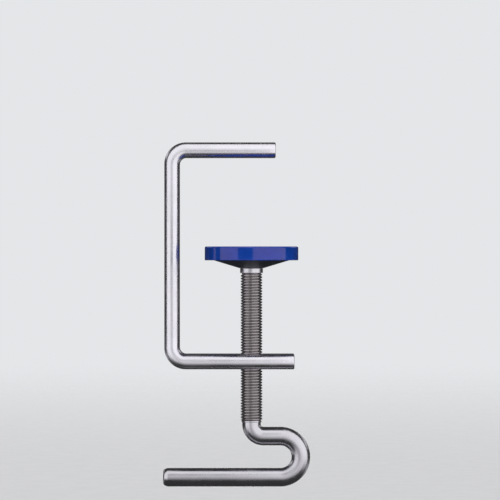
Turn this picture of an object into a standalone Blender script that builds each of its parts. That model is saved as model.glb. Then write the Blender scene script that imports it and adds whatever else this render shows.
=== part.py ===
"""Screw-type table clamp.

A flat bar bent into a C carries a right-hand screw spindle in its lower arm. The spindle's own rod is bent
into a crank handle, and a swivelling pressure plate sits on its turned neck.

The origin is on the spindle's axis, on the clamping face under the upper arm. +Z is up, +X is towards the
open side of the C, and Y runs across the width of the bar.
"""

import math

import bmesh
import bpy

MM = 0.001

# Frame: a flat bar with round edges, bent into a C
BAR_THICKNESS = 4.85 * MM
BAR_WIDTH = 15.0 * MM
JAW_OPENING = 63.7 * MM
THROAT_DEPTH = 23.35 * MM
UPPER_ARM_REACH = 7.85 * MM
LOWER_ARM_REACH = 13.9 * MM
FRAME_BEND_INNER_RADIUS = 2.1 * MM
FRAME_BEND_STEPS = 10
BAR_EDGE_STEPS = 10
BAR_END_CHAMFER = 0.35 * MM

# Spindle: a fine 60 degree thread rolled on a smooth rod
THREAD_DIAMETER = 7.0 * MM
THREAD_ROOT_DIAMETER = 5.9 * MM
THREAD_PITCH = 0.9 * MM
THREAD_TOP_Z = -37.7 * MM
THREAD_LENGTH = 47.8 * MM
THREAD_STEPS = 12
THREAD_LEAD = 0.15 * MM
THREAD_CREST_WIDTH = THREAD_PITCH / 8
THREAD_KNEE_DEPTH = 0.02 * MM
THREAD_BURIED_DEPTH = 0.3 * MM
THREAD_FLANK_SLOPE = math.tan(math.radians(30))
ROD_DIAMETER = 6.0 * MM
ROD_STEPS = 16
HOLE_CLEARANCE = 0.125 * MM
HOLE_CHAMFER = 0.4 * MM

# Handle: the rod's S-bend below the thread
CRANK_AXIS_Z = -90.4 * MM
CRANK_BEND_RADIUS = 3.9 * MM
RETURN_BEND_X = 9.35 * MM
RETURN_BEND_RADIUS = 6.68 * MM
HANDLE_END_X = -28.7 * MM
HANDLE_END_ROUND = 0.9 * MM
HANDLE_END_SHOULDER = 0.54 * MM
HANDLE_END_SHOULDER_DEPTH = 0.16 * MM
ROD_BEND_STEPS = 8

# Neck on top of the spindle, with a groove for the retaining clip
NECK_DIAMETER = 4.0 * MM
NECK_TOP_Z = -32.0 * MM
NECK_CHAMFER = 0.3 * MM
GROOVE_DIAMETER = 3.2 * MM
GROOVE_TOP_Z = -32.8 * MM
GROOVE_WIDTH = 0.9 * MM
CLIP_THICKNESS = 0.6 * MM
CLIP_DIAMETER = 7.6 * MM
CLIP_OPENING_DEGREES = 110

# Thrust collar and pressure plate, stacked on the neck
RUNNING_GAP = 0.15 * MM
SEAT_GAP = 0.2 * MM
COLLAR_DIAMETER = 7.4 * MM
COLLAR_HEIGHT = 1.45 * MM
COLLAR_CHAMFER = 0.2 * MM
HUB_DIAMETER = 7.8 * MM
CONE_DIAMETER = 24.6 * MM
CONE_HEIGHT = 2.55 * MM
DISH_WALL = 1.5 * MM
DISH_FLOOR = 2.0 * MM
DISH_POCKET_DIAMETER = 11.0 * MM
DISH_FLANGE_DIAMETER = 27.4 * MM
DISH_FLANGE_HEIGHT = 1.6 * MM
CAP_DIAMETER = 30.4 * MM
CAP_HEIGHT = 4.5 * MM
CAP_ROOF = 1.5 * MM
CAP_LIP_HEIGHT = 0.8 * MM
CAP_EDGE_ROUND = 0.5 * MM
CAP_RING_RADII = (6.5 * MM, 9.0 * MM, 11.5 * MM)
CAP_RING_WIDTH = 0.8 * MM
CAP_RING_DEPTH = 0.35 * MM
ASSEMBLY_GAP = 0.3 * MM
PLATE_STEPS = 48
SMALL_STEPS = 32

MERGE_DISTANCE = 0.00001
OVERCUT = 2.0 * MM


def clear_scene():
    for old in list(bpy.data.objects):
        bpy.data.objects.remove(old, do_unlink=True)


def new_collection(name):
    collection = bpy.data.collections.new(name)
    bpy.context.scene.collection.children.link(collection)
    return collection


def new_material(name, colour, roughness, metallic):
    material = bpy.data.materials.new(name)
    material.use_nodes = True
    shader = material.node_tree.nodes["Principled BSDF"]
    shader.inputs["Base Color"].default_value = (*colour, 1.0)
    shader.inputs["Roughness"].default_value = roughness
    shader.inputs["Metallic"].default_value = metallic
    return material


def hide_as_cutter(tool):
    tool.hide_render = True
    tool.display_type = "WIRE"


def profile_object(name, points, closed, collection):
    """A chain of edges in the XZ plane, from (radius, height) points."""
    mesh = bpy.data.meshes.new(name)
    edges = [(i, i + 1) for i in range(len(points) - 1)]
    if closed:
        edges.append((len(points) - 1, 0))
    mesh.from_pydata([(radius, 0.0, height) for radius, height in points], edges, [])
    shape = bpy.data.objects.new(name, mesh)
    collection.objects.link(shape)
    return shape


def turned(name, points, closed, steps, collection):
    """A shape turned about Z. The points run down its outer side, and a closed profile makes a ring."""
    shape = profile_object(name, points, closed, collection)
    screw = shape.modifiers.new("Turn", "SCREW")
    screw.axis = "Z"
    screw.steps = steps
    screw.render_steps = steps
    screw.use_merge_vertices = True
    screw.merge_threshold = MERGE_DISTANCE
    return shape


def arc(centre_x, centre_z, radius, start_degrees, end_degrees, steps):
    """Points on an arc in the XZ plane, both ends included."""
    points = []
    for i in range(steps + 1):
        angle = math.radians(start_degrees + (end_degrees - start_degrees) * i / steps)
        points.append((centre_x + radius * math.cos(angle), centre_z + radius * math.sin(angle)))
    return points


def bent_curve(name, points, collection):
    """An open curve with straight runs through (x, z) points at y = 0."""
    curve = bpy.data.curves.new(name, "CURVE")
    curve.dimensions = "3D"
    curve.use_fill_caps = True
    curve.twist_mode = "MINIMUM"
    spline = curve.splines.new("POLY")
    spline.points.add(len(points) - 1)
    for point, (x, z) in zip(spline.points, points):
        point.co = (x, 0.0, z, 1.0)
    shape = bpy.data.objects.new(name, curve)
    collection.objects.link(shape)
    return shape


def as_mesh(shape, collection):
    """Turns a curve, or an object with modifiers, into a plain mesh object with the same name and place."""
    bpy.context.view_layer.update()
    evaluated = shape.evaluated_get(bpy.context.evaluated_depsgraph_get())
    mesh = bpy.data.meshes.new_from_object(evaluated)
    name = shape.name
    place = shape.matrix_world.copy()
    bpy.data.objects.remove(shape, do_unlink=True)
    work = bmesh.new()
    work.from_mesh(mesh)
    bmesh.ops.remove_doubles(work, verts=work.verts, dist=MERGE_DISTANCE)
    open_edges = [edge for edge in work.edges if edge.is_boundary]
    if open_edges:
        bmesh.ops.holes_fill(work, edges=open_edges, sides=0)
    bmesh.ops.recalc_face_normals(work, faces=work.faces)
    work.to_mesh(mesh)
    work.free()
    mesh.name = name
    solid = bpy.data.objects.new(name, mesh)
    solid.matrix_world = place
    collection.objects.link(solid)
    return solid


def boolean(shape, tool, operation):
    modifier = shape.modifiers.new(operation.title(), "BOOLEAN")
    modifier.operation = operation
    modifier.solver = "EXACT"
    modifier.object = tool
    hide_as_cutter(tool)


def finish_part(shape, material, smooth_degrees=35):
    shape.data.materials.clear()
    shape.data.materials.append(material)
    shape.data.shade_smooth()
    shape.data.set_sharp_from_angle(angle=math.radians(smooth_degrees))


def bar_section(collection):
    """The bar's cross-section: two flats joined by half-round edges."""
    edge_radius = BAR_THICKNESS / 2
    flat_half = BAR_WIDTH / 2 - edge_radius
    points = arc(flat_half, 0.0, edge_radius, -90, 90, BAR_EDGE_STEPS)
    points += arc(-flat_half, 0.0, edge_radius, 90, 270, BAR_EDGE_STEPS)
    curve = bpy.data.curves.new("bar_section", "CURVE")
    curve.dimensions = "2D"
    spline = curve.splines.new("POLY")
    spline.points.add(len(points) - 1)
    for point, (across, through) in zip(spline.points, points):
        point.co = (across, through, 0.0, 1.0)
    spline.use_cyclic_u = True
    section = bpy.data.objects.new("bar_section", curve)
    collection.objects.link(section)
    hide_as_cutter(section)
    return section


def frame_path():
    """The centre line of the bent bar, from the upper arm's end round to the lower arm's end."""
    half = BAR_THICKNESS / 2
    radius = FRAME_BEND_INNER_RADIUS + half
    back_x = -THROAT_DEPTH - half
    upper_z = half
    lower_z = -JAW_OPENING - half
    path = [(UPPER_ARM_REACH, upper_z)]
    path += arc(back_x + radius, upper_z - radius, radius, 90, 180, FRAME_BEND_STEPS)
    path += arc(back_x + radius, lower_z + radius, radius, 180, 270, FRAME_BEND_STEPS)
    path.append((LOWER_ARM_REACH, lower_z))
    return path


def spindle_hole(collection):
    """The cutter for the hole through the lower arm, widened by a chamfer at both faces."""
    radius = THREAD_DIAMETER / 2 + HOLE_CLEARANCE
    top = -JAW_OPENING
    bottom = -JAW_OPENING - BAR_THICKNESS
    wide = radius + HOLE_CHAMFER + OVERCUT
    points = [
        (0.0, top + OVERCUT),
        (wide, top + OVERCUT),
        (radius, top - HOLE_CHAMFER),
        (radius, bottom + HOLE_CHAMFER),
        (wide, bottom - OVERCUT),
        (0.0, bottom - OVERCUT),
    ]
    return turned("spindle_hole", points, False, SMALL_STEPS, collection)


def make_clamp_frame(parts, cutters, material):
    bar = bent_curve("clamp_frame", frame_path(), parts)
    bar.data.bevel_mode = "OBJECT"
    bar.data.bevel_object = bar_section(cutters)
    frame = as_mesh(bar, parts)
    chamfer = frame.modifiers.new("End chamfer", "BEVEL")
    chamfer.width = BAR_END_CHAMFER
    chamfer.segments = 1
    chamfer.limit_method = "ANGLE"
    chamfer.angle_limit = math.radians(60)
    boolean(frame, spindle_hole(cutters), "DIFFERENCE")
    finish_part(frame, material)
    return frame


def thread_ridge(cutters):
    """The helical ridge of the thread, its root buried in the core and its ends cut to a chamfer."""
    crest_radius = THREAD_DIAMETER / 2
    root_radius = THREAD_ROOT_DIAMETER / 2
    knee_radius = root_radius - THREAD_KNEE_DEPTH
    buried_radius = root_radius - THREAD_BURIED_DEPTH
    crest_half = THREAD_CREST_WIDTH / 2
    base_half = crest_half + (crest_radius - knee_radius) * THREAD_FLANK_SLOPE
    turns = math.ceil(THREAD_LENGTH / THREAD_PITCH) + 1
    start_z = THREAD_TOP_Z - THREAD_LENGTH - THREAD_PITCH / 2
    section = [
        (crest_radius, start_z + crest_half),
        (crest_radius, start_z - crest_half),
        (knee_radius, start_z - base_half),
        (buried_radius, start_z - base_half),
        (buried_radius, start_z + base_half),
        (knee_radius, start_z + base_half),
    ]
    helix = profile_object("thread_ridge", section, True, cutters)
    screw = helix.modifiers.new("Helix", "SCREW")
    screw.axis = "Z"
    screw.screw_offset = THREAD_PITCH
    screw.iterations = turns
    screw.steps = THREAD_STEPS
    screw.render_steps = THREAD_STEPS
    ridge = as_mesh(helix, cutters)
    bottom_z = THREAD_TOP_Z - THREAD_LENGTH
    chamfer = crest_radius - buried_radius
    barrel_points = [
        (0.0, THREAD_TOP_Z - THREAD_LEAD),
        (buried_radius, THREAD_TOP_Z - THREAD_LEAD),
        (crest_radius + OVERCUT, THREAD_TOP_Z - THREAD_LEAD - chamfer - OVERCUT),
        (crest_radius + OVERCUT, bottom_z + chamfer + OVERCUT),
        (buried_radius, bottom_z),
        (0.0, bottom_z),
    ]
    barrel = turned("thread_barrel", barrel_points, False, THREAD_STEPS, cutters)
    boolean(ridge, barrel, "INTERSECT")
    return ridge


def spindle_core_profile():
    """The neck, its clip groove and the thread's core, which ends inside the smooth rod."""
    neck = NECK_DIAMETER / 2
    groove = GROOVE_DIAMETER / 2
    groove_bottom = GROOVE_TOP_Z - GROOVE_WIDTH
    core = THREAD_ROOT_DIAMETER / 2
    buried_z = THREAD_TOP_Z - THREAD_LENGTH - THREAD_PITCH
    return [
        (0.0, NECK_TOP_Z),
        (neck - NECK_CHAMFER, NECK_TOP_Z),
        (neck, NECK_TOP_Z - NECK_CHAMFER),
        (neck, GROOVE_TOP_Z),
        (groove, GROOVE_TOP_Z),
        (groove, groove_bottom),
        (neck, groove_bottom),
        (neck, THREAD_TOP_Z),
        (core, THREAD_TOP_Z),
        (core, buried_z),
        (0.0, buried_z),
    ]


def handle_path():
    """The rod's centre line: down from the thread, out along the crank, round the return bend, and back."""
    bend_z = CRANK_AXIS_Z + CRANK_BEND_RADIUS
    handle_z = CRANK_AXIS_Z - 2 * RETURN_BEND_RADIUS
    path = [(0.0, THREAD_TOP_Z - THREAD_LENGTH)]
    path += arc(CRANK_BEND_RADIUS, bend_z, CRANK_BEND_RADIUS, 180, 270, ROD_BEND_STEPS)
    return_centre_z = CRANK_AXIS_Z - RETURN_BEND_RADIUS
    path += arc(RETURN_BEND_X, return_centre_z, RETURN_BEND_RADIUS, 90, -90, 2 * ROD_BEND_STEPS)
    path.append((HANDLE_END_X + HANDLE_END_ROUND, handle_z))
    path.append((HANDLE_END_X + HANDLE_END_ROUND - HANDLE_END_SHOULDER, handle_z))
    path.append((HANDLE_END_X, handle_z))
    return path


def handle_rod(cutters):
    """The smooth rod, with a rounded end on the handle."""
    rod = bent_curve("handle_rod", handle_path(), cutters)
    rod.data.bevel_depth = ROD_DIAMETER / 2
    rod.data.bevel_resolution = ROD_STEPS // 4
    points = rod.data.splines[0].points
    points[-2].radius = 1 - HANDLE_END_SHOULDER_DEPTH / (ROD_DIAMETER / 2)
    points[-1].radius = 1 - HANDLE_END_ROUND / (ROD_DIAMETER / 2)
    return as_mesh(rod, cutters)


def make_spindle(parts, cutters, material):
    spindle = turned("spindle", spindle_core_profile(), False, THREAD_STEPS, parts)
    boolean(spindle, thread_ridge(cutters), "UNION")
    boolean(spindle, handle_rod(cutters), "UNION")
    finish_part(spindle, material)
    return spindle


def make_retaining_clip(parts, material):
    """An open spring ring in the neck's groove, cut from sheet."""
    inner = GROOVE_DIAMETER / 2 + RUNNING_GAP
    outer = CLIP_DIAMETER / 2
    half_open = CLIP_OPENING_DEGREES / 2
    outline = arc(0.0, 0.0, outer, half_open, 360 - half_open, SMALL_STEPS)
    outline += arc(0.0, 0.0, inner, 360 - half_open, half_open, SMALL_STEPS // 2)
    curve = bpy.data.curves.new("retaining_clip", "CURVE")
    curve.dimensions = "2D"
    curve.fill_mode = "BOTH"
    curve.extrude = CLIP_THICKNESS / 2
    spline = curve.splines.new("POLY")
    spline.points.add(len(outline) - 1)
    for point, (x, y) in zip(spline.points, outline):
        point.co = (x, y, 0.0, 1.0)
    spline.use_cyclic_u = True
    clip = bpy.data.objects.new("retaining_clip", curve)
    clip.location = (0.0, 0.0, GROOVE_TOP_Z - GROOVE_WIDTH / 2)
    parts.objects.link(clip)
    clip = as_mesh(clip, parts)
    finish_part(clip, material)
    return clip


def make_thrust_collar(parts, material):
    outer = COLLAR_DIAMETER / 2
    bore = NECK_DIAMETER / 2 + RUNNING_GAP
    bottom = THREAD_TOP_Z + SEAT_GAP
    top = bottom + COLLAR_HEIGHT
    points = [
        (outer - COLLAR_CHAMFER, top),
        (outer, top - COLLAR_CHAMFER),
        (outer, bottom + COLLAR_CHAMFER),
        (outer - COLLAR_CHAMFER, bottom),
        (bore, bottom),
        (bore, top),
    ]
    collar = turned("thrust_collar", points, True, SMALL_STEPS, parts)
    finish_part(collar, material)
    return collar


def dish_bottom_z():
    return THREAD_TOP_Z + 2 * SEAT_GAP + COLLAR_HEIGHT


def make_swivel_dish(parts, material):
    """The cone under the plate: a hub round the neck, a conical wall, and a flange that the cap snaps over."""
    bottom = dish_bottom_z()
    cone_top = bottom + CONE_HEIGHT
    flange_bottom = cone_top + CAP_LIP_HEIGHT + ASSEMBLY_GAP
    flange_top = flange_bottom + DISH_FLANGE_HEIGHT
    flange = DISH_FLANGE_DIAMETER / 2
    cone = CONE_DIAMETER / 2
    pocket = DISH_POCKET_DIAMETER / 2
    bore = NECK_DIAMETER / 2 + RUNNING_GAP
    points = [
        (flange, flange_top),
        (flange, flange_bottom),
        (cone, flange_bottom),
        (cone, cone_top),
        (HUB_DIAMETER / 2, bottom),
        (bore, bottom),
        (bore, bottom + DISH_FLOOR),
        (pocket, bottom + DISH_FLOOR),
        (cone - DISH_WALL / 2, cone_top + DISH_WALL),
        (cone - DISH_WALL / 2, flange_top),
    ]
    dish = turned("swivel_dish", points, True, PLATE_STEPS, parts)
    finish_part(dish, material)
    return dish


def make_protective_cap(parts, material):
    """The coloured cap over the dish: flat on top with shallow rings, and a lip below that holds the dish."""
    bottom = dish_bottom_z() + CONE_HEIGHT
    top = bottom + CAP_HEIGHT
    outer = CAP_DIAMETER / 2
    lip_top = bottom + CAP_LIP_HEIGHT
    points = [(0.0, top)]
    for radius in CAP_RING_RADII:
        points.append((radius - CAP_RING_WIDTH / 2, top))
        points.append((radius, top - CAP_RING_DEPTH))
        points.append((radius + CAP_RING_WIDTH / 2, top))
    points += arc(outer - CAP_EDGE_ROUND, top - CAP_EDGE_ROUND, CAP_EDGE_ROUND, 90, 0, 3)
    points += [
        (outer, bottom),
        (CONE_DIAMETER / 2 + ASSEMBLY_GAP, bottom),
        (CONE_DIAMETER / 2 + ASSEMBLY_GAP, lip_top),
        (DISH_FLANGE_DIAMETER / 2 + ASSEMBLY_GAP, lip_top),
        (DISH_FLANGE_DIAMETER / 2 + ASSEMBLY_GAP, top - CAP_ROOF),
        (0.0, top - CAP_ROOF),
    ]
    cap = turned("protective_cap", points, False, PLATE_STEPS, parts)
    finish_part(cap, material)
    return cap


def on_axis(name, parts, children):
    """An empty on the spindle's axis that carries a body's pieces."""
    pivot = bpy.data.objects.new(name, None)
    pivot.empty_display_size = 10 * MM
    parts.objects.link(pivot)
    for child in children:
        child.parent = pivot
    return pivot


def main():
    clear_scene()
    parts = new_collection("table_clamp")
    cutters = new_collection("cutters")
    plated_bar = new_material("plated_bar", (0.62, 0.61, 0.62), 0.24, 1.0)
    plated_rod = new_material("plated_rod", (0.60, 0.59, 0.61), 0.22, 1.0)
    bright_steel = new_material("bright_steel", (0.70, 0.69, 0.70), 0.18, 1.0)
    spring_steel = new_material("spring_steel", (0.20, 0.20, 0.22), 0.35, 1.0)
    black_plastic = new_material("black_plastic", (0.02, 0.021, 0.027), 0.45, 0.0)
    blue_plastic = new_material("blue_plastic", (0.01, 0.045, 0.32), 0.25, 0.0)
    make_clamp_frame(parts, cutters, plated_bar)
    spindle = make_spindle(parts, cutters, plated_rod)
    clip = make_retaining_clip(parts, spring_steel)
    collar = make_thrust_collar(parts, bright_steel)
    dish = make_swivel_dish(parts, black_plastic)
    cap = make_protective_cap(parts, blue_plastic)
    travel = on_axis("spindle_travel_axis", parts, [collar])
    turn = on_axis("spindle_turn_axis", parts, [spindle, clip])
    swivel = on_axis("pad_swivel_axis", parts, [dish, cap])
    turn.parent = travel
    swivel.parent = travel


main()
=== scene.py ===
"""The looks of a screw-type table clamp: fine meshes and materials for its bar, spindle and plate."""

import math

import bmesh
import bpy
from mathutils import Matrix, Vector


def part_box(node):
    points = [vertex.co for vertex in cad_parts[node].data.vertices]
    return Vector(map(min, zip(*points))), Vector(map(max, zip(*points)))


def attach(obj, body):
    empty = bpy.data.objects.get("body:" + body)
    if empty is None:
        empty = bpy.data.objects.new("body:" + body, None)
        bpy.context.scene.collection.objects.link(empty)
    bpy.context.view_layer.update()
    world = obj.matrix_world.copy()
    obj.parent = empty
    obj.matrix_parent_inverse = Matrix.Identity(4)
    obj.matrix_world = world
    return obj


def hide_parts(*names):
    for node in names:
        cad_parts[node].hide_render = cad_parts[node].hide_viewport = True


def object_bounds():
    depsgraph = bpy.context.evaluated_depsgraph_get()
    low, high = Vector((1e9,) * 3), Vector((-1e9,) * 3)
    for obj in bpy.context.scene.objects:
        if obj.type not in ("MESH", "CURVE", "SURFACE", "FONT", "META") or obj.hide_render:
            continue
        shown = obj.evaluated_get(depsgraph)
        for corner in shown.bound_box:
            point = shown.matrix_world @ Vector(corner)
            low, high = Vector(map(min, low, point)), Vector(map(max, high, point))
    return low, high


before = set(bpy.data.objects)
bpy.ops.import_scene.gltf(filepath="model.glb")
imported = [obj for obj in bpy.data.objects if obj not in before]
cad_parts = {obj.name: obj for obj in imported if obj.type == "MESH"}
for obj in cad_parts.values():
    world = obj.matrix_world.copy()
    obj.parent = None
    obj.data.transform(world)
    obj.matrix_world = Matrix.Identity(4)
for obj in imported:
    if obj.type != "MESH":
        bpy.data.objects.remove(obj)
CAD_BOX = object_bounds()

MM = 0.001

# Faces that meet at a steeper angle than this have a sharp edge between them
SMOOTH_DEGREES = 38
MERGE_DISTANCE = 2e-7
CUT_MERGE_DISTANCE = 5e-6

# The arcs that round a corner, and how far the points that hold the flats stand off them
ROUNDING_STEPS = 6
ROUNDING_HOLD = 0.02 * MM

# The bent bar
BAR_THICKNESS = 4.85 * MM
BAR_WIDTH = 15.0 * MM
BAR_BEND_INNER_RADIUS = 2.1 * MM
UPPER_ARM_REACH = 7.85 * MM
BAR_BEND_STEPS = 28
BAR_EDGE_STEPS = 20
BAR_RUN_STEP = 2.5 * MM
BAR_FLAT_SHARES = (0.94, 0.5, 0.0, -0.5, -0.94)
BAR_END_ROUND = 0.4 * MM
BAR_END_STEPS = 6
BEND_SPREAD = 0.22 * MM

# The spindle
THREAD_DIAMETER = 7.0 * MM
THREAD_ROOT_DIAMETER = 6.05 * MM
THREAD_PITCH = 0.9 * MM
THREAD_TOP_Z = -37.45 * MM
THREAD_LENGTH = 48.0 * MM
THREAD_BOTTOM_Z = THREAD_TOP_Z - THREAD_LENGTH
THREAD_PHASES = (
    0.0, 0.05, 0.09, 0.15, 0.22, 0.29, 0.345, 0.385,
    0.5, 0.615, 0.655, 0.71, 0.78, 0.85, 0.91, 0.95,
)
THREAD_CREST_HALF = 0.14
THREAD_FLANK = 0.31
THREAD_SOFTNESS = 0.85
THREAD_RUN_OUT = 0.4 * MM
THREAD_WORN_DEPTH = 0.1 * MM
THREAD_START_DEPTH = (THREAD_DIAMETER - THREAD_ROOT_DIAMETER) / 2
SHOULDER_DIAMETER = 6.5 * MM
SHOULDER_HEIGHT = 0.3 * MM
SHOULDER_CHAMFER = 0.12 * MM
HOLE_CLEARANCE = 0.125 * MM
HOLE_CHAMFER = 0.4 * MM
HOLE_OVERCUT = 1.0 * MM
AROUND = 64
ROD_DIAMETER = 6.0 * MM
CRANK_BEND_RADIUS = 3.9 * MM
RETURN_BEND_RADIUS = 6.68 * MM
ROD_BEND_STEPS = 26
ROD_RUN_STEP = 2.5 * MM
ROD_TOP_RUN_STEP = ROD_RUN_STEP / 8
HANDLE_END_ROUND = 1.15 * MM
HANDLE_END_LENGTH = 1.9 * MM
HANDLE_END_STEPS = 12
NECK_DIAMETER = 4.0 * MM
NECK_CHAMFER = 0.3 * MM
NECK_TOP_ROUND = 0.08 * MM
NECK_FOOT_ROUND = 0.12 * MM
NECK_ROUND_STEPS = 3
GROOVE_DIAMETER = 3.2 * MM
GROOVE_TOP_Z = -32.8 * MM
GROOVE_WIDTH = 0.9 * MM
GROOVE_EDGE_ROUND = 0.05 * MM
COLLAR_CLEARANCE = 0.03 * MM
COLLAR_RIM_ROUND = 0.12 * MM
COLLAR_BORE_ROUND = 0.1 * MM
COLLAR_AROUND = 96

# The plate
PLATE_AROUND = 192
RUNNING_GAP = 0.15 * MM
ASSEMBLY_GAP = 0.3 * MM
HUB_DIAMETER = 7.8 * MM
CONE_DIAMETER = 24.6 * MM
CONE_HEIGHT = 2.55 * MM
DISH_WALL = 1.5 * MM
DISH_FLOOR = 2.0 * MM
DISH_POCKET_DIAMETER = 11.0 * MM
DISH_FLANGE_DIAMETER = 27.4 * MM
DISH_FLANGE_ROUND = 0.2 * MM
DISH_STEP_ROUND = 0.1 * MM
DISH_CONE_ROUND = 0.3 * MM
DISH_HUB_ROUND = 0.45 * MM
DISH_BORE_ROUND = 0.15 * MM
DISH_POCKET_ROUND = 0.4 * MM
CAP_ROOF = 1.5 * MM
CAP_LIP_HEIGHT = 0.8 * MM
CAP_EDGE_ROUND = 0.5 * MM
CAP_LIP_ROUND = 0.3 * MM
CAP_STEP_ROUND = 0.15 * MM
CAP_SEAT_ROUND = 0.3 * MM
CAP_ROUND_STEPS = 8
CAP_CENTRE_RADIUS = 2.5 * MM
CAP_RING_RADII = (6.5 * MM, 9.0 * MM, 11.5 * MM)
CAP_RING_WIDTH = 0.8 * MM
CAP_RING_DEPTH = 0.35 * MM
CAP_RING_SHARES = (-1.0, -0.8, -0.55, -0.25, 0.0, 0.25, 0.55, 0.8, 1.0)
CLIP_OPENING_DEGREES = 110
CLIP_STEPS = 56
CLIP_EDGE_ROUND = 0.12 * MM
CLIP_ROUND_STEPS = 4


# ---------------------------------------------------------------- meshes

def arc(centre, radius, start_degrees, end_degrees, steps):
    """Points (a, b) along an arc, both ends included."""
    points = []
    for i in range(steps + 1):
        angle = math.radians(start_degrees + (end_degrees - start_degrees) * i / steps)
        points.append((centre[0] + radius * math.cos(angle), centre[1] + radius * math.sin(angle)))
    return points


def run(start, end, step):
    """Points from start to end at about this spacing, without either end."""
    start, end = Vector(start), Vector(end)
    count = max(1, round((end - start).length / step))
    return [tuple(start.lerp(end, k / count)) for k in range(1, count)]


def grain_layer(work):
    """The UV layer that lays the metal's lines, in metres."""
    return work.loops.layers.uv.get("grain") or work.loops.layers.uv.new("grain")


def shade(mesh):
    """Smooth shading, with sharp edges where faces meet steeply."""
    mesh.shade_smooth()
    mesh.set_sharp_from_angle(angle=math.radians(SMOOTH_DEGREES))


def link_mesh(name, work):
    """Cleans a bmesh and writes it to a new object."""
    bmesh.ops.remove_doubles(work, verts=work.verts, dist=MERGE_DISTANCE)
    bmesh.ops.dissolve_degenerate(work, edges=work.edges, dist=MERGE_DISTANCE)
    bmesh.ops.recalc_face_normals(work, faces=work.faces)
    mesh = bpy.data.meshes.new(name)
    work.to_mesh(mesh)
    work.free()
    shade(mesh)
    piece = bpy.data.objects.new(name, mesh)
    bpy.context.scene.collection.objects.link(piece)
    return piece


def rounded(profile, corners, steps=ROUNDING_STEPS):
    """Replaces a profile's corners, as {index: radius}, with arcs, each held by a point on both sides."""
    out = []
    count = len(profile)
    for i, point in enumerate(profile):
        radius = corners.get(i, 0.0)
        if not radius:
            out.append(point)
            continue
        here = Vector(point)
        before = (Vector(profile[i - 1]) - here).normalized()
        after = (Vector(profile[(i + 1) % count]) - here).normalized()
        half = before.angle(after) / 2
        start = here + before * radius / math.tan(half)
        end = here + after * radius / math.tan(half)
        centre = here + (before + after).normalized() * radius / math.sin(half)
        out.append(tuple(start + before * ROUNDING_HOLD))
        for k in range(steps + 1):
            ray = start.lerp(end, k / steps) - centre
            out.append(tuple(centre + ray.normalized() * radius))
        out.append(tuple(end + after * ROUNDING_HOLD))
    return out


def lathe(work, profile, around, closed, material=0):
    """Turns an (r, z) profile about Z, in metres. A point on the axis becomes one vertex."""
    grain = grain_layer(work)
    rings = []
    for radius, height in profile:
        if radius < MERGE_DISTANCE:
            rings.append([work.verts.new((0.0, 0.0, height))] * around)
            continue
        ring = []
        for i in range(around):
            angle = 2 * math.pi * i / around
            ring.append(work.verts.new((radius * math.cos(angle), radius * math.sin(angle), height)))
        rings.append(ring)
    pairs = list(zip(rings, rings[1:]))
    if closed:
        pairs.append((rings[-1], rings[0]))
    for upper, lower in pairs:
        for i in range(around):
            k = (i + 1) % around
            corners = []
            for vertex in (upper[i], lower[i], lower[k], upper[k]):
                if vertex not in corners:
                    corners.append(vertex)
            if len(corners) < 3:
                continue
            face = work.faces.new(corners)
            face.material_index = material
            for loop in face.loops:
                loop[grain].uv = (loop.vert.co.z, i / around * math.pi * ROD_DIAMETER)


def turned(name, profile, around=PLATE_AROUND, closed=True):
    work = bmesh.new()
    lathe(work, profile, around, closed)
    return link_mesh(name, work)


def sweep(work, path, sections, start_cap, end_cap):
    """Sweeps closed sections along an (x, z) path.

    There is one section for each point of the path, as (along the normal, Y) points. The grain layer gets
    the length along the path and the length around the section.
    """
    grain = grain_layer(work)
    rings = []
    travelled = [0.0]
    for k, point in enumerate(path):
        here = Vector(point)
        before = Vector(path[max(k - 1, 0)])
        after = Vector(path[min(k + 1, len(path) - 1)])
        if k:
            travelled.append(travelled[-1] + (here - before).length)
        tangent = (after - before).normalized()
        normal = Vector((-tangent.y, tangent.x))
        stretch = 1.0
        if 0 < k < len(path) - 1:
            stretch = 1 / math.cos((here - before).angle(after - here, 0.0) / 2)
        ring = []
        for out, across in sections[k]:
            place = here + normal * out * stretch
            ring.append(work.verts.new((place.x, across, place.y)))
        rings.append(ring)
    middle = sections[len(sections) // 2]
    around = [0.0]
    for a, b in zip(middle, middle[1:] + middle[:1]):
        around.append(around[-1] + (Vector(b) - Vector(a)).length)
    size = len(middle)
    for k in range(len(rings) - 1):
        for i in range(size):
            j = (i + 1) % size
            face = work.faces.new((rings[k][i], rings[k + 1][i], rings[k + 1][j], rings[k][j]))
            marks = ((k, i), (k + 1, i), (k + 1, i + 1), (k, i + 1))
            for loop, (along, turn) in zip(face.loops, marks):
                loop[grain].uv = (travelled[along], around[turn])
    for wanted, ring in ((start_cap, rings[0]), (end_cap, rings[-1])):
        if wanted:
            face = work.faces.new(ring)
            for loop in face.loops:
                loop[grain].uv = (loop.vert.co.z, loop.vert.co.y)


# ---------------------------------------------------------------- thread

def thread_radius(phase):
    """The thread's radius at a phase from 0 at a root to 0.5 at a crest and on to 1 at the next root."""
    crest, root = THREAD_DIAMETER / 2, THREAD_ROOT_DIAMETER / 2
    share = min(max((abs(phase - 0.5) - THREAD_CREST_HALF) / THREAD_FLANK, 0.0), 1.0)
    soft = share * share * (3 - 2 * share)
    mix = share + (soft - share) * THREAD_SOFTNESS
    return crest + (root - crest) * mix


def spindle_radius(phase, z):
    """The thread on the spindle: a chamfered start under the neck, and a run-out into the smooth rod."""
    start = THREAD_DIAMETER / 2 - THREAD_START_DEPTH + (THREAD_TOP_Z - z)
    radius = min(thread_radius(phase), start)
    share = min((z - THREAD_BOTTOM_Z) / THREAD_RUN_OUT, 1.0)
    return ROD_DIAMETER / 2 + (radius - ROD_DIAMETER / 2) * share


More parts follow.
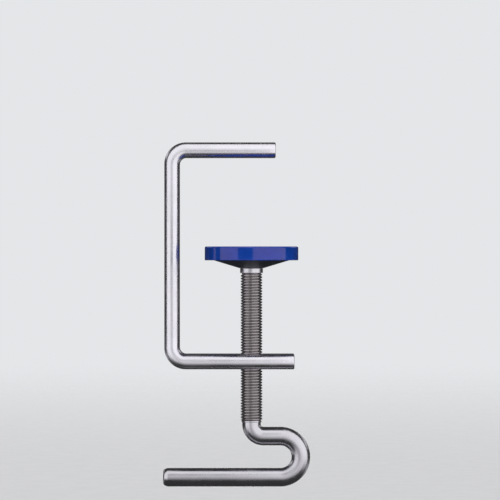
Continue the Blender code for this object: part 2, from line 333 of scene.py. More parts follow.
def helical_skin(work, top_z, bottom_z, radius_at, material=0):
    """A threaded skin whose grid follows the right-hand helix and ends in a level ring at both heights."""
    grain = grain_layer(work)
    per_turn = len(THREAD_PHASES)
    turns = math.ceil((top_z - bottom_z) / THREAD_PITCH) + 2
    skipped = math.floor((THREAD_TOP_Z - top_z) / THREAD_PITCH) - 1
    lines = []
    for j in range(turns * per_turn + 1):
        drop = (skipped + j // per_turn + THREAD_PHASES[j % per_turn]) * THREAD_PITCH
        line = []
        for i in range(AROUND + 1):
            z = THREAD_TOP_Z - drop + THREAD_PITCH * i / AROUND
            z = min(max(z, bottom_z), top_z)
            phase = ((THREAD_TOP_Z - z) / THREAD_PITCH + i / AROUND) % 1.0
            angle = 2 * math.pi * i / AROUND
            radius = radius_at(phase, z)
            line.append(work.verts.new((radius * math.cos(angle), radius * math.sin(angle), z)))
        lines.append(line)
    for upper, lower in zip(lines, lines[1:]):
        for i in range(AROUND):
            corners = [upper[i], lower[i], lower[i + 1], upper[i + 1]]
            places = {tuple(round(c / MERGE_DISTANCE) for c in vertex.co) for vertex in corners}
            if len(places) < 3:
                continue
            face = work.faces.new(corners)
            face.material_index = material
            for loop, turn in zip(face.loops, (i, i, i + 1, i + 1)):
                loop[grain].uv = (loop.vert.co.z, turn / AROUND * math.pi * THREAD_DIAMETER)


# ---------------------------------------------------------------- pieces

def bar_section(inset, spread):
    """Two flats joined by half-round edges. A spread widens the inner side, as a bend does."""
    radius = BAR_THICKNESS / 2
    flat = BAR_WIDTH / 2 - radius
    small = radius - inset
    points = []
    for side in (1, -1):
        for out, across in arc((0.0, 0.0), small, -90 * side, 90 * side, BAR_EDGE_STEPS):
            wide = spread * (0.5 + 0.5 * across / radius)
            points.append((across, side * (flat + wide + out)))
        top = side * small
        for share in BAR_FLAT_SHARES:
            points.append((top, side * share * flat))
    return points


def make_bar():
    """The bar from the upper arm's end, round both bends, to the lower arm's end, with the tapped hole."""
    low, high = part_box("clamp_frame")
    half = BAR_THICKNESS / 2
    radius = BAR_BEND_INNER_RADIUS + half
    back_x = low.x + half
    upper_z = high.z - half
    lower_z = low.z + half
    upper_end = UPPER_ARM_REACH
    lower_end = high.x
    path, insets, spreads = [], [], []

    def add(points, inset=0.0, bend=False):
        for i, point in enumerate(points):
            path.append(point)
            insets.append(inset)
            spread = math.sin(math.pi * i / (len(points) - 1)) if bend else 0.0
            spreads.append(BEND_SPREAD * spread)

    def add_end(reach, height, angles):
        for angle in angles:
            place = (reach - BAR_END_ROUND * (1 - math.cos(angle)), height)
            add([place], BAR_END_ROUND * (1 - math.sin(angle)))

    angles = [math.radians(90 * k / BAR_END_STEPS) for k in range(BAR_END_STEPS + 1)]
    add_end(upper_end, upper_z, angles)
    add(run((upper_end - BAR_END_ROUND, upper_z), (back_x + radius, upper_z), BAR_RUN_STEP))
    add(arc((back_x + radius, upper_z - radius), radius, 90, 180, BAR_BEND_STEPS), bend=True)
    add(run((back_x, upper_z - radius), (back_x, lower_z + radius), BAR_RUN_STEP))
    add(arc((back_x + radius, lower_z + radius), radius, 180, 270, BAR_BEND_STEPS), bend=True)
    add(run((back_x + radius, lower_z), (lower_end - BAR_END_ROUND, lower_z), BAR_RUN_STEP))
    add_end(lower_end, lower_z, reversed(angles))
    work = bmesh.new()
    sections = [bar_section(inset, spread) for inset, spread in zip(insets, spreads)]
    sweep(work, path, sections, True, True)
    bar = link_mesh("bent_bar", work)
    cut_threaded_hole(bar, low.z, low.z + BAR_THICKNESS)
    return bar


def cut_threaded_hole(bar, bottom_z, top_z):
    """Cuts the tapped hole through the lower arm, with a countersink at both faces."""
    def nut_radius(phase, z):
        depth = min(top_z - z, z - bottom_z)
        sink = THREAD_DIAMETER / 2 + HOLE_CLEARANCE + HOLE_CHAMFER - depth
        return max(thread_radius(phase) + HOLE_CLEARANCE, sink)

    work = bmesh.new()
    upper, lower = top_z + HOLE_OVERCUT, bottom_z - HOLE_OVERCUT
    helical_skin(work, upper, lower, nut_radius)
    for z in (upper, lower):
        lathe(work, [(0.0, z), (nut_radius(0.0, z), z)], AROUND, False)
    tool = link_mesh("hole_tool", work)
    cut = bar.modifiers.new("Hole", "BOOLEAN")
    cut.operation = "DIFFERENCE"
    cut.solver = "EXACT"
    cut.object = tool
    bpy.context.view_layer.update()
    evaluated = bar.evaluated_get(bpy.context.evaluated_depsgraph_get())
    mesh = bpy.data.meshes.new_from_object(evaluated)
    bar.modifiers.clear()
    old = bar.data
    bar.data = mesh
    bpy.data.meshes.remove(old)
    bpy.data.objects.remove(tool, do_unlink=True)
    clean_cut(mesh)
    shade(mesh)


def clean_cut(mesh):
    """Takes out the slivers that the cut leaves and splits its many-sided faces, so the mesh stays closed."""
    work = bmesh.new()
    work.from_mesh(mesh)
    bmesh.ops.remove_doubles(work, verts=work.verts, dist=CUT_MERGE_DISTANCE)
    bmesh.ops.dissolve_degenerate(work, edges=work.edges, dist=CUT_MERGE_DISTANCE)
    many_sided = [face for face in work.faces if len(face.verts) > 4]
    bmesh.ops.triangulate(work, faces=many_sided, ngon_method="BEAUTY")
    work.to_mesh(mesh)
    work.free()


def neck_profile():
    """The turned neck, from its top down to the thread's first ring."""
    neck, groove = NECK_DIAMETER / 2, GROOVE_DIAMETER / 2
    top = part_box("spindle")[1].z
    profile = [
        (0.0, top),
        (neck - NECK_CHAMFER, top),
        (neck, top - NECK_CHAMFER),
        (neck, GROOVE_TOP_Z),
        (groove, GROOVE_TOP_Z),
        (groove, GROOVE_TOP_Z - GROOVE_WIDTH),
        (neck, GROOVE_TOP_Z - GROOVE_WIDTH),
        (neck, THREAD_TOP_Z),
        (spindle_radius(0.0, THREAD_TOP_Z), THREAD_TOP_Z),
    ]
    corners = {
        1: NECK_TOP_ROUND,
        2: NECK_TOP_ROUND,
        3: GROOVE_EDGE_ROUND,
        6: GROOVE_EDGE_ROUND,
        7: NECK_FOOT_ROUND,
    }
    return rounded(profile, corners, NECK_ROUND_STEPS)


def make_spindle():
    """Neck, thread, shoulder ring and the smooth rod that is bent into the crank and the handle."""
    low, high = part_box("spindle")
    rod = ROD_DIAMETER / 2
    handle_z = low.z + rod
    crank_z = handle_z + 2 * RETURN_BEND_RADIUS
    return_x = high.x - rod - RETURN_BEND_RADIUS
    bend_z = crank_z + CRANK_BEND_RADIUS
    shoulder_z = THREAD_BOTTOM_Z - SHOULDER_HEIGHT - SHOULDER_CHAMFER
    shoulder = [
        (rod, THREAD_BOTTOM_Z),
        (SHOULDER_DIAMETER / 2, THREAD_BOTTOM_Z),
        (SHOULDER_DIAMETER / 2, THREAD_BOTTOM_Z - SHOULDER_HEIGHT),
        (rod, shoulder_z),
    ]
    path = [(0.0, shoulder_z)]
    path += run((0.0, shoulder_z), (0.0, bend_z), ROD_TOP_RUN_STEP)
    path += arc((CRANK_BEND_RADIUS, bend_z), CRANK_BEND_RADIUS, 180, 270, ROD_BEND_STEPS)
    path += run((CRANK_BEND_RADIUS, crank_z), (return_x, crank_z), ROD_RUN_STEP)
    path += arc((return_x, crank_z - RETURN_BEND_RADIUS), RETURN_BEND_RADIUS, 90, -90, 2 * ROD_BEND_STEPS)
    path += run((return_x, handle_z), (low.x + HANDLE_END_LENGTH, handle_z), ROD_RUN_STEP)
    radii = [rod] * len(path)
    for along, across in arc((0.0, 0.0), 1.0, 90, 0, HANDLE_END_STEPS):
        path.append((low.x + HANDLE_END_LENGTH * (1 - along), handle_z))
        radii.append(rod - HANDLE_END_ROUND * (1 - across))
    sections = [arc((0.0, 0.0), radius, 0, 360 - 360 / AROUND, AROUND - 1) for radius in radii]
    work = bmesh.new()
    lathe(work, neck_profile(), AROUND, False, 1)
    helical_skin(work, THREAD_TOP_Z, THREAD_BOTTOM_Z, spindle_radius, 2)
    lathe(work, shoulder, AROUND, False)
    sweep(work, path, sections, False, True)
    return link_mesh("crank_spindle", work)


def make_collar():
    """The ring between the plate and the thread."""
    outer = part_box("thrust_collar")[1].x
    bore = NECK_DIAMETER / 2 + RUNNING_GAP
    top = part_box("swivel_dish")[0].z - COLLAR_CLEARANCE
    bottom = THREAD_TOP_Z + COLLAR_CLEARANCE
    profile = [(outer, top), (outer, bottom), (bore, bottom), (bore, top)]
    corners = {0: COLLAR_RIM_ROUND, 1: COLLAR_RIM_ROUND, 2: COLLAR_BORE_ROUND, 3: COLLAR_BORE_ROUND}
    return turned("thrust_washer", rounded(profile, corners), COLLAR_AROUND)


def make_clip():
    """The open spring ring, with the rolled edges of a stamping."""
    low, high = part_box("retaining_clip")
    inner = GROOVE_DIAMETER / 2 + RUNNING_GAP
    outer = high.y
    section = [(outer, high.z), (outer, low.z), (inner, low.z), (inner, high.z)]
    section = rounded(section, {i: CLIP_EDGE_ROUND for i in range(4)}, CLIP_ROUND_STEPS)
    work = bmesh.new()
    grain = grain_layer(work)
    rings = []
    half_open = CLIP_OPENING_DEGREES / 2
    for k in range(CLIP_STEPS + 1):
        angle = math.radians(half_open + (360 - 2 * half_open) * k / CLIP_STEPS)
        rings.append([work.verts.new((r * math.cos(angle), r * math.sin(angle), z)) for r, z in section])
    size = len(section)
    for a, b in zip(rings, rings[1:]):
        for i in range(size):
            j = (i + 1) % size
            work.faces.new((a[i], b[i], b[j], a[j]))
    work.faces.new(rings[0])
    work.faces.new(rings[-1])
    for face in work.faces:
        for loop in face.loops:
            loop[grain].uv = (loop.vert.co.x, loop.vert.co.y)
    return link_mesh("spring_clip", work)


def make_dish():
    """The cone under the plate: its hub on the neck, the clip's pocket, and the flange that the cap holds."""
    low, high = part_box("swivel_dish")
    cone_top = low.z + CONE_HEIGHT
    flange_bottom = cone_top + CAP_LIP_HEIGHT + ASSEMBLY_GAP
    flange = DISH_FLANGE_DIAMETER / 2
    cone = CONE_DIAMETER / 2
    pocket = DISH_POCKET_DIAMETER / 2
    bore = NECK_DIAMETER / 2 + RUNNING_GAP
    profile = [
        (flange, high.z),
        (flange, flange_bottom),
        (cone, flange_bottom),
        (cone, cone_top),
        (HUB_DIAMETER / 2, low.z),
        (bore, low.z),
        (bore, low.z + DISH_FLOOR),
        (pocket, low.z + DISH_FLOOR),
        (cone - DISH_WALL / 2, cone_top + DISH_WALL),
        (cone - DISH_WALL / 2, high.z),
    ]
    corners = {
        0: DISH_FLANGE_ROUND,
        1: DISH_FLANGE_ROUND,
        2: DISH_STEP_ROUND,
        3: DISH_CONE_ROUND,
        4: DISH_HUB_ROUND,
        5: DISH_BORE_ROUND,
        7: DISH_POCKET_ROUND,
    }
    return turned("swivel_cone", rounded(profile, corners))


def make_cap():
    """The cap: a roof with three shallow rings, a rim, and a lip below that holds the dish's flange."""
    low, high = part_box("protective_cap")
    outer = high.x
    top = high.z
    lip_top = low.z + CAP_LIP_HEIGHT
    lip = CONE_DIAMETER / 2 + ASSEMBLY_GAP
    seat = DISH_FLANGE_DIAMETER / 2 + ASSEMBLY_GAP
    profile = [(0.0, top), (CAP_CENTRE_RADIUS, top)]
    for radius in CAP_RING_RADII:
        for share in CAP_RING_SHARES:
            depth = CAP_RING_DEPTH * (0.5 + 0.5 * math.cos(math.pi * share))
            profile.append((radius + share * CAP_RING_WIDTH / 2, top - depth))
    shell = [
        (outer, top),
        (outer, low.z),
        (lip, low.z),
        (lip, lip_top),
        (seat, lip_top),
        (seat, top - CAP_ROOF),
        (0.0, top - CAP_ROOF),
    ]
    corners = {1: CAP_EDGE_ROUND, 2: CAP_LIP_ROUND, 3: CAP_STEP_ROUND, 4: CAP_STEP_ROUND, 6: CAP_SEAT_ROUND}
    profile += rounded([profile[-1]] + shell, corners, CAP_ROUND_STEPS)[1:]
    return turned("plate_cap", profile, closed=False)


# ---------------------------------------------------------------- node trees

class Graph:
    """Builds a node tree. Inputs are given as plain values or as other nodes' outputs."""

    def __init__(self, tree):
        self.tree = tree
        tree.nodes.clear()

    def add(self, kind, inputs=None, **settings):
        node = self.tree.nodes.new(kind)
        for key, value in settings.items():
            setattr(node, key, value)
        for key, value in (inputs or {}).items():
            if isinstance(value, bpy.types.NodeSocket):
                self.tree.links.new(value, node.inputs[key])
            else:
                node.inputs[key].default_value = value
        return node

    def math(self, operation, a, b=0.0):
        return self.add("ShaderNodeMath", {0: a, 1: b}, operation=operation).outputs[0]

    def chain(self, operation, values):
        result = values[0]
        for value in values[1:]:
            result = self.math(operation, result, value)
        return result

    def total(self, *values):
        return self.chain("ADD", values)

    def product(self, *values):
        return self.chain("MULTIPLY", values)

    def highest(self, *values):
        return self.chain("MAXIMUM", values)

    def ramp(self, value, low, high, at_low=0.0, at_high=1.0):
        """Goes smoothly from at_low to at_high as the value goes from low to high."""
        inputs = {"Value": value, "From Min": low, "From Max": high, "To Min": at_low, "To Max": at_high}
        return self.add("ShaderNodeMapRange", inputs, interpolation_type="SMOOTHSTEP").outputs["Result"]

    def window(self, value, low, low_full, high_full, high):
        """1 between the full values, and 0 beyond low and high."""
        return self.product(self.ramp(value, low, low_full), self.ramp(value, high_full, high, 1.0, 0.0))

    def scaled(self, coordinates, factors):
        return self.add("ShaderNodeVectorMath", {0: coordinates, 1: factors}, operation="MULTIPLY").outputs[0]

    def noise(self, coordinates, scale=1.0, detail=3.0, roughness=0.5, distortion=0.0):
        inputs = {
            "Vector": coordinates,
            "Scale": scale,
            "Detail": detail,
            "Roughness": roughness,
            "Distortion": distortion,
        }
        return self.add("ShaderNodeTexNoise", inputs).outputs["Fac"]

    def cells(self, coordinates, scale):
        node = self.add("ShaderNodeTexVoronoi", {"Vector": coordinates, "Scale": scale})
        return node.outputs["Distance"]

    def mixed(self, share, a, b):
        """Goes from colour a to colour b as the share goes from 0 to 1."""
        node = self.add("ShaderNodeMix", {0: share, 6: a, 7: b}, data_type="RGBA")
        return node.outputs[2]

    def bump(self, height, distance, normal=None):
        """A relief this deep, in metres, laid over another one if its normal is given."""
        inputs = {"Height": height, "Distance": distance, "Strength": 1.0}
        if normal is not None:
            inputs["Normal"] = normal
        return self.add("ShaderNodeBump", inputs).outputs["Normal"]


def new_material(name):
    material = bpy.data.materials.new(name)
    material.use_nodes = True
    return material, Graph(material.node_tree)


def finish_material(graph, inputs):
    shader = graph.add("ShaderNodeBsdfPrincipled", inputs)
    graph.add("ShaderNodeOutputMaterial", {"Surface": shader.outputs[0]})


def grey(level, tint):
    return (level * tint[0], level * tint[1], level * tint[2], 1.0)


# ---------------------------------------------------------------- materials

# In the materials, noise and cell scales are for coordinates in metres, and gloss is the shader's roughness
NICKEL_TINT = (0.99, 0.97, 1.045)
THREAD_TINT = (1.02, 0.95, 0.98)
PIT_TINT = (1.0, 0.97, 0.95)
RUB_TINT = (1.0, 0.95, 0.92)
# The dark colour of the painted shade in the thread's roots
ROOT_SHADE_COLOUR = (0.17, 0.153, 0.156, 1.0)
DUST_COLOUR = (0.45, 0.44, 0.42, 1.0)
PHOSPHATE_DARK = (0.055, 0.055, 0.06, 1.0)
PHOSPHATE_LIGHT = (0.12, 0.118, 0.12, 1.0)
RUBBED_STEEL = (0.34, 0.33, 0.32, 1.0)


def drawn_metal(name, level, roughness, line_scale, worn):
    """Satin plated steel: drawing lines along its length, soft clouds, handling marks, scratches and pits."""
    material, g = new_material(name)
    place = g.add("ShaderNodeTexCoord").outputs["Object"]
    grain = g.add("ShaderNodeUVMap", uv_map="grain").outputs["UV"]
    lines = g.noise(g.scaled(grain, (60.0, line_scale, 1.0)), detail=4.0, roughness=0.65)
    streaks = g.noise(g.scaled(grain, (22.0, line_scale / 9, 1.0)), detail=3.0, roughness=0.6)
    clouds = g.noise(place, scale=170.0, detail=4.0, roughness=0.55, distortion=0.6)
    marks = g.noise(place, scale=75.0, detail=5.0, roughness=0.62, distortion=1.6)
    pits = g.cells(place, 2100.0)
    patches = g.noise(g.scaled(place, (420.0, 420.0, 90.0)), detail=6.0, roughness=0.7, distortion=2.2)
    rubs = g.ramp(patches, 0.63, 0.72)
    pitting = g.ramp(pits, 0.08, 0.24, 1.0, 0.0)
    hairs = g.noise(g.scaled(grain, (55.0, 2300.0, 1.0)), detail=2.0, roughness=0.5, distortion=0.3)
    scratches = g.ramp(hairs, 0.6, 0.7)
    tone = g.total(
        g.product(g.ramp(clouds, 0.3, 0.7), 0.35),
        g.product(g.ramp(streaks, 0.28, 0.72), 0.4),
        g.product(g.ramp(lines, 0.25, 0.75), 0.25),
    )
    dark = grey(level * 0.88, NICKEL_TINT)
    light = grey(level * 1.05, NICKEL_TINT)
    colour = g.mixed(tone, dark, light)
    colour = g.mixed(g.product(pitting, 0.16), colour, grey(level * 0.6, PIT_TINT))
    colour = g.mixed(g.product(scratches, 0.22), colour, grey(level * 0.55, NICKEL_TINT))
    colour = g.mixed(g.product(rubs, worn), colour, grey(level * 0.6, RUB_TINT))
    gloss = g.total(
        roughness - 0.07,
        g.product(g.ramp(marks, 0.35, 0.68), 0.11),
        g.product(streaks, 0.07),
        g.product(rubs, 0.09),
        g.product(pitting, 0.08),
    )
    fine = g.bump(lines, 1.2e-6)
    waves = g.noise(g.scaled(grain, (70.0, 420.0, 1.0)), detail=2.0)
    broad = g.bump(waves, 5e-6, fine)
    normal = g.bump(g.product(pitting, -1.0), 1.5e-6, broad)
    tangent = g.add("ShaderNodeTangent", direction_type="UV_MAP", uv_map="grain").outputs[0]
    finish_material(g, {
        "Base Color": colour,
        "Metallic": 1.0,
        "Roughness": gloss,
        "Anisotropic": 0.25,
        "Normal": normal,
        "Tangent": tangent,
    })
    return material


def radius_of(g, place):
    """How far a point is from the spindle's axis."""
    flat = g.scaled(place, (1.0, 1.0, 0.0))
    return g.add("ShaderNodeVectorMath", {0: flat}, operation="LENGTH").outputs["Value"]


def rolled_thread_metal():
    """The rolled thread: dark metal with rubbed crests, and flanks and roots darkened by painted shade, in
    blotches, and made rougher there.
    """
    material, g = new_material("rolled_thread")
    place = g.add("ShaderNodeTexCoord").outputs["Object"]
    radius = radius_of(g, place)
    depth = g.ramp(radius, THREAD_DIAMETER / 2, THREAD_ROOT_DIAMETER / 2)
    blotches = g.noise(place, scale=420.0, detail=5.0, roughness=0.6, distortion=0.5)
    fine = g.noise(place, scale=3200.0, detail=3.0, roughness=0.6)
    along = g.noise(g.scaled(place, (40.0, 40.0, 110.0)), detail=3.0)
    # Painted shade: darker and rougher towards the thread's roots, broken up by noise
    root_shade = g.product(g.ramp(depth, 0.25, 1.0), g.ramp(blotches, 0.25, 0.7, 0.55, 1.0))
    metal = g.mixed(g.ramp(along, 0.3, 0.7), grey(0.32, THREAD_TINT), grey(0.38, THREAD_TINT))
    worn = g.ramp(radius, THREAD_DIAMETER / 2 - THREAD_WORN_DEPTH, THREAD_DIAMETER / 2)
    crest = g.mixed(worn, metal, grey(0.37, THREAD_TINT))
    colour = g.mixed(g.product(root_shade, 0.3), crest, ROOT_SHADE_COLOUR)
    gloss = g.total(0.17, g.product(root_shade, 0.08), g.product(fine, 0.06))
    normal = g.bump(g.total(g.product(fine, 0.5), g.product(blotches, 0.5)), 1.2e-5)
    finish_material(g, {"Base Color": colour, "Metallic": 1.0, "Roughness": gloss, "Normal": normal})
    return material


def turned_metal(name, level, roughness, line_scale):
    """Machined steel with fine turning lines round the axis."""
    material, g = new_material(name)
    place = g.add("ShaderNodeTexCoord").outputs["Object"]
    radius = radius_of(g, place)
    height = g.add("ShaderNodeSeparateXYZ", {0: place}).outputs["Z"]
    across, along = g.product(radius, line_scale), g.product(height, line_scale)
    ring = g.add("ShaderNodeCombineXYZ", {"X": across, "Y": along})
    lines = g.noise(ring.outputs[0], detail=4.0, roughness=0.7)
    clouds = g.noise(place, scale=600.0, detail=3.0)
    tone = g.ramp(g.total(g.product(lines, 0.6), g.product(clouds, 0.4)), 0.3, 0.7)
    colour = g.mixed(tone, grey(level * 0.84, NICKEL_TINT), grey(level * 1.06, NICKEL_TINT))
    gloss = g.total(roughness - 0.04, g.product(clouds, 0.08), g.product(lines, 0.04))
    normal = g.bump(lines, 1e-5)
    tangent = g.add("ShaderNodeTangent", direction_type="RADIAL", axis="Z").outputs[0]
    finish_material(g, {
        "Base Color": colour,
        "Metallic": 1.0,
        "Roughness": gloss,
        "Anisotropic": 0.4,
        "Normal": normal,
        "Tangent": tangent,
    })
    return material


def spring_metal():
    """Phosphated spring steel: dark, with a crystalline mottle and rubbed brighter patches."""
    material, g = new_material("phosphated_spring_steel")
    place = g.add("ShaderNodeTexCoord").outputs["Object"]
    crystals = g.cells(place, 9000.0)
    patches = g.noise(place, scale=700.0, detail=4.0, roughness=0.6)
    colour = g.mixed(crystals, PHOSPHATE_DARK, PHOSPHATE_LIGHT)
    colour = g.mixed(g.ramp(patches, 0.6, 0.75), colour, RUBBED_STEEL)
    gloss = g.total(0.38, g.product(crystals, 0.15))
    finish_material(g, {
        "Base Color": colour,
        "Metallic": 1.0,
        "Roughness": gloss,
        "Normal": g.bump(crystals, 6e-6),
    })
    return material


def moulded_plastic(name, dark, light, roughness, grain_depth, speckle, sheen_tint, ior):
    """Moulded plastic: fine spark-eroded grain, faint flow clouds, dust and a few rubbed scratches."""
    material, g = new_material(name)
    place = g.add("ShaderNodeTexCoord").outputs["Object"]
    grain = g.noise(place, scale=5200.0, detail=3.0, roughness=0.6)
    dimples = g.cells(place, 3400.0)
    flow = g.noise(g.scaled(place, (120.0, 120.0, 260.0)), detail=4.0, roughness=0.55, distortion=1.2)
    streaks = g.noise(g.scaled(place, (900.0, 160.0, 700.0)), detail=5.0, roughness=0.7, distortion=2.5)
    scuffs = g.ramp(streaks, 0.66, 0.74)
    dust = g.ramp(g.cells(place, 1300.0), 0.05, 0.12, 1.0, 0.0)
    colour = g.mixed(g.ramp(flow, 0.3, 0.7), dark, light)
    colour = g.mixed(g.product(dust, speckle), colour, DUST_COLOUR)
    gloss = g.total(
        roughness - 0.05,
        g.product(flow, 0.1),
        g.product(scuffs, 0.12),
        g.product(dust, 0.15),
    )
    relief = g.total(g.product(grain, 0.6), g.product(dimples, 0.4))
    finish_material(g, {
        "Base Color": colour,
        "Metallic": 0.0,
        "Roughness": gloss,
        "IOR": ior,
        "Specular Tint": sheen_tint,
        "Normal": g.bump(relief, grain_depth),
    })
    return material


# ---------------------------------------------------------------- studio

STUDIO_WHITE = (1.0, 0.995, 1.0, 1.0)
BACKDROP_COLOUR = (0.78, 0.79, 0.81, 1.0)

# The rear panels, in degrees from the front and above the horizon: where each starts, is full, and ends again
REAR_PANEL_TURN = (100, 112, 152, 162)
REAR_PANEL_HEIGHT = (10, 16, 25, 32)
REAR_PANEL_LEVEL = 0.75
LOW_PANEL_TURN = (98, 112, 150, 162)
LOW_PANEL_HEIGHT = (-32, -25, -17, -10)
LOW_PANEL_LEVEL = 0.5
DARK_LEVEL = 0.045

# The ground's light, as (from degrees, to degrees, level at the first, level at the last): it rises from
# straight below to the horizon, drops just above it, and is weaker behind
GROUND_RISE = (-60, -8, 0.03, 0.2)
GROUND_HORIZON = (-10, 2, 1.0, 0.2)
GROUND_BEHIND = (80, 110, 1.0, 0.35)

# The light tent: a panel in front, one at each side and one overhead
TENT_FRONT_Y = -110 * MM
TENT_SIDE_X = 150 * MM
TENT_TOP_Z = 300 * MM
TENT_BOTTOM_Z = -320 * MM
TENT_RIGHT_Y = -4 * MM
TENT_LEFT_Y = -28 * MM
TENT_TOP_Y = 12 * MM
TENT_DARK_LEVEL = 0.05

# The tent's left side is a little dimmer than its right
TENT_CHANGE_X = (-20 * MM, 5 * MM)
TENT_LEVELS = (1.05, 1.12)

# A dim upright strip in front that fades out above, and a dark patch in it
STRIP_X = (-68 * MM, -52 * MM, 1 * MM, 17 * MM)
STRIP_Z = (60 * MM, 0.0)
STRIP_DEPTH = 0.32
PATCH_X = (-72 * MM, -64 * MM, 2 * MM, 10 * MM)
PATCH_Z = (-39 * MM, -35 * MM, -27 * MM, -23 * MM)

# The tent fades out downwards, and starts to do so higher up in the middle than at its sides
FADE_END_Z = -207 * MM
FADE_SPAN = (40 * MM, 80 * MM)
FADE_START_Z = (-60 * MM, -100 * MM)


def make_world():
    """Dim light and two rear panels for the reflections, and a pale backdrop for the camera."""
    world = bpy.data.worlds.new("studio")
    bpy.context.scene.world = world
    world.use_nodes = True
    g = Graph(world.node_tree)
    way = g.add("ShaderNodeSeparateXYZ", {0: g.add("ShaderNodeTexCoord").outputs["Generated"]})
    turn = g.math("ABSOLUTE", g.math("ARCTAN2", way.outputs["X"], g.product(way.outputs["Y"], -1.0)))
    height = g.math("ARCSINE", way.outputs["Z"])

    def between(value, low, high, at_low, at_high):
        return g.ramp(value, math.radians(low), math.radians(high), at_low, at_high)

    def panel(turns, heights, level):
        across = g.window(turn, *map(math.radians, turns))
        upright = g.window(height, *map(math.radians, heights))
        return g.product(across, upright, level)

    rear = panel(REAR_PANEL_TURN, REAR_PANEL_HEIGHT, REAR_PANEL_LEVEL)
    low = panel(LOW_PANEL_TURN, LOW_PANEL_HEIGHT, LOW_PANEL_LEVEL)
    ground = g.product(
        between(height, *GROUND_RISE),
        between(height, *GROUND_HORIZON),
        between(turn, *GROUND_BEHIND),
    )
    level = g.highest(rear, low, ground, DARK_LEVEL)
    studio = g.add("ShaderNodeBackground", {"Color": STUDIO_WHITE, "Strength": level})
    backdrop = g.add("ShaderNodeBackground", {"Color": BACKDROP_COLOUR, "Strength": 1.0})
    seen = g.add("ShaderNodeLightPath").outputs["Is Camera Ray"]
    mix = g.add("ShaderNodeMixShader", {0: seen, 1: studio.outputs[0], 2: backdrop.outputs[0]})
    g.add("ShaderNodeOutputWorld", {"Surface": mix.outputs[0]})


def make_tent():
    """The panels that the metal reflects. They light no matt surface and aren't seen directly."""
    work = bmesh.new()
    front, side, top, low = TENT_FRONT_Y, TENT_SIDE_X, TENT_TOP_Z, TENT_BOTTOM_Z
    panels = [
        [(-side, front, low), (side, front, low), (side, front, top), (-side, front, top)],
        [(side, front, low), (side, TENT_RIGHT_Y, low), (side, TENT_RIGHT_Y, top), (side, front, top)],
        [(-side, TENT_LEFT_Y, low), (-side, front, low), (-side, front, top), (-side, TENT_LEFT_Y, top)],
        [(-side, front, top), (side, front, top), (side, TENT_TOP_Y, top), (-side, TENT_TOP_Y, top)],
    ]
    for corners in panels:
        work.faces.new([work.verts.new(corner) for corner in corners])
    tent = link_mesh("light_tent", work)
    material, g = new_material("tent_light")
    place = g.add("ShaderNodeSeparateXYZ", {0: g.add("ShaderNodeTexCoord").outputs["Object"]})
    x, z = place.outputs["X"], place.outputs["Z"]
    full = g.ramp(x, *TENT_CHANGE_X, *TENT_LEVELS)
    strip = g.product(g.window(x, *STRIP_X), g.ramp(z, *STRIP_Z), STRIP_DEPTH)
    patch = g.product(g.window(x, *PATCH_X), g.window(z, *PATCH_Z))
    cover = g.total(1.0, g.product(g.highest(strip, patch), -1.0))
    fade_start = g.ramp(g.math("ABSOLUTE", x), *FADE_SPAN, *FADE_START_Z)
    fade = g.ramp(z, FADE_END_Z, fade_start)
    level = g.highest(g.product(full, cover, fade), TENT_DARK_LEVEL)
    light = g.add("ShaderNodeEmission", {"Color": STUDIO_WHITE, "Strength": level})
    g.add("ShaderNodeOutputMaterial", {"Surface": light.outputs[0]})
    tent.data.materials.append(material)
    tent.visible_camera = False
    tent.visible_diffuse = False
    tent.visible_transmission = False
    tent.visible_shadow = False


FILL_ENERGY = 2.85
FILL_ANGLE_DEGREES = 70
FILL_TILT_DEGREES = (38, 8, 0)


def make_fill():
    """One broad, even light for the matt surfaces and the floor, left out of the reflections."""
    data = bpy.data.lights.new("fill", "SUN")
    data.energy = FILL_ENERGY
    data.angle = math.radians(FILL_ANGLE_DEGREES)
    fill = bpy.data.objects.new("fill", data)
    fill.rotation_euler = [math.radians(angle) for angle in FILL_TILT_DEGREES]
    fill.visible_glossy = False
    bpy.context.scene.collection.objects.link(fill)


FLOOR_HALF_WIDTH = 3.0
FLOOR_SEGMENTS = 24
FLOOR_FADE = (0.35, 2.2)
PAPER_DARK = (0.80, 0.805, 0.82, 1.0)
PAPER_LIGHT = (0.83, 0.835, 0.85, 1.0)

# How far the crank comes down when the spindle is wound out
SPINDLE_DROP = 26 * MM


def make_floor(height):
    """A pale sheet under the clamp that fades into the backdrop and can be seen through from beneath."""
    work = bmesh.new()
    bmesh.ops.create_grid(work, x_segments=FLOOR_SEGMENTS, y_segments=FLOOR_SEGMENTS, size=FLOOR_HALF_WIDTH)
    floor = link_mesh("floor", work)
    floor.location.z = height
    material, g = new_material("pale_paper")
    place = g.add("ShaderNodeTexCoord").outputs["Object"]
    fibres = g.noise(place, scale=90.0, detail=5.0, roughness=0.6)
    colour = g.mixed(g.ramp(fibres, 0.3, 0.7), PAPER_DARK, PAPER_LIGHT)
    paper = g.add("ShaderNodeBsdfDiffuse", {"Color": colour})
    clear = g.add("ShaderNodeBsdfTransparent")
    reach = g.add("ShaderNodeVectorMath", {0: place}, operation="LENGTH").outputs["Value"]
    fade = g.ramp(reach, *FLOOR_FADE)
    beneath = g.add("ShaderNodeNewGeometry").outputs["Backfacing"]
    share = g.highest(fade, beneath)
    mix = g.add("ShaderNodeMixShader", {0: share, 1: paper.outputs[0], 2: clear.outputs[0]})
    g.add("ShaderNodeOutputMaterial", {"Surface": mix.outputs[0]})
    floor.data.materials.append(material)
    floor.visible_glossy = False


CAMERA_DISTANCE = 1.2
CAMERA_LENS = 266.0
CAMERA_X = -0.49 * MM
CAMERA_Z = -29.95 * MM
CAMERA_CLIP = (0.01, 20.0)


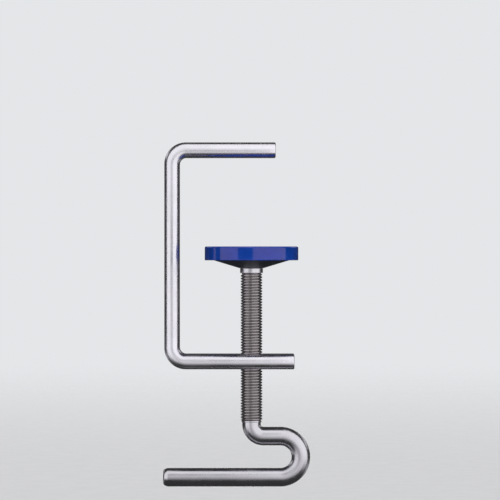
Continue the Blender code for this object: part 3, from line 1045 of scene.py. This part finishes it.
def make_camera():
    """Level and straight on, from far enough away that the clamp is nearly free of perspective."""
    data = bpy.data.cameras.new("camera")
    data.lens = CAMERA_LENS
    data.clip_start, data.clip_end = CAMERA_CLIP
    camera = bpy.data.objects.new("camera", data)
    camera.location = (CAMERA_X, -CAMERA_DISTANCE, CAMERA_Z)
    camera.rotation_euler = (math.radians(90), 0.0, 0.0)
    bpy.context.scene.collection.objects.link(camera)
    bpy.context.scene.camera = camera


# ---------------------------------------------------------------- all together

def place_piece(piece, materials, body, node):
    """Gives a piece its materials, and says what it rides on, which CAD node it replaces."""
    for material in materials:
        piece.data.materials.append(material)
    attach(piece, body)
    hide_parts(node)


def main():
    bar_metal = drawn_metal("satin_plated_bar", level=0.82, roughness=0.27, line_scale=7000.0, worn=0.2)
    rod_metal = drawn_metal("satin_plated_rod", level=0.66, roughness=0.22, line_scale=8000.0, worn=0.16)
    neck_metal = turned_metal("turned_neck", level=0.62, roughness=0.26, line_scale=9000.0)
    collar_metal = turned_metal("turned_washer", level=0.68, roughness=0.24, line_scale=9000.0)
    black = moulded_plastic(
        "black_plastic",
        dark=(0.006, 0.012, 0.022, 1.0),
        light=(0.009, 0.016, 0.028, 1.0),
        roughness=0.42,
        grain_depth=1e-5,
        speckle=0.15,
        sheen_tint=(0.9, 0.95, 1.0, 1.0),
        ior=1.46,
    )
    blue = moulded_plastic(
        "blue_plastic",
        dark=(0.002, 0.047, 0.32, 1.0),
        light=(0.003, 0.056, 0.375, 1.0),
        roughness=0.11,
        grain_depth=6e-7,
        speckle=0.06,
        sheen_tint=(1.0, 0.62, 0.8, 1.0),
        ior=1.62,
    )
    place_piece(make_bar(), [bar_metal], "frame", "clamp_frame")
    spindle_metals = [rod_metal, neck_metal, rolled_thread_metal()]
    place_piece(make_spindle(), spindle_metals, "screw", "spindle")
    place_piece(make_collar(), [collar_metal], "carrier", "thrust_collar")
    place_piece(make_clip(), [spring_metal()], "screw", "retaining_clip")
    place_piece(make_dish(), [black], "pad", "swivel_dish")
    place_piece(make_cap(), [blue], "pad", "protective_cap")
    make_world()
    make_tent()
    make_fill()
    make_floor(CAD_BOX[0].z - SPINDLE_DROP)
    make_camera()
    bpy.context.scene.view_settings.view_transform = "Standard"


main()
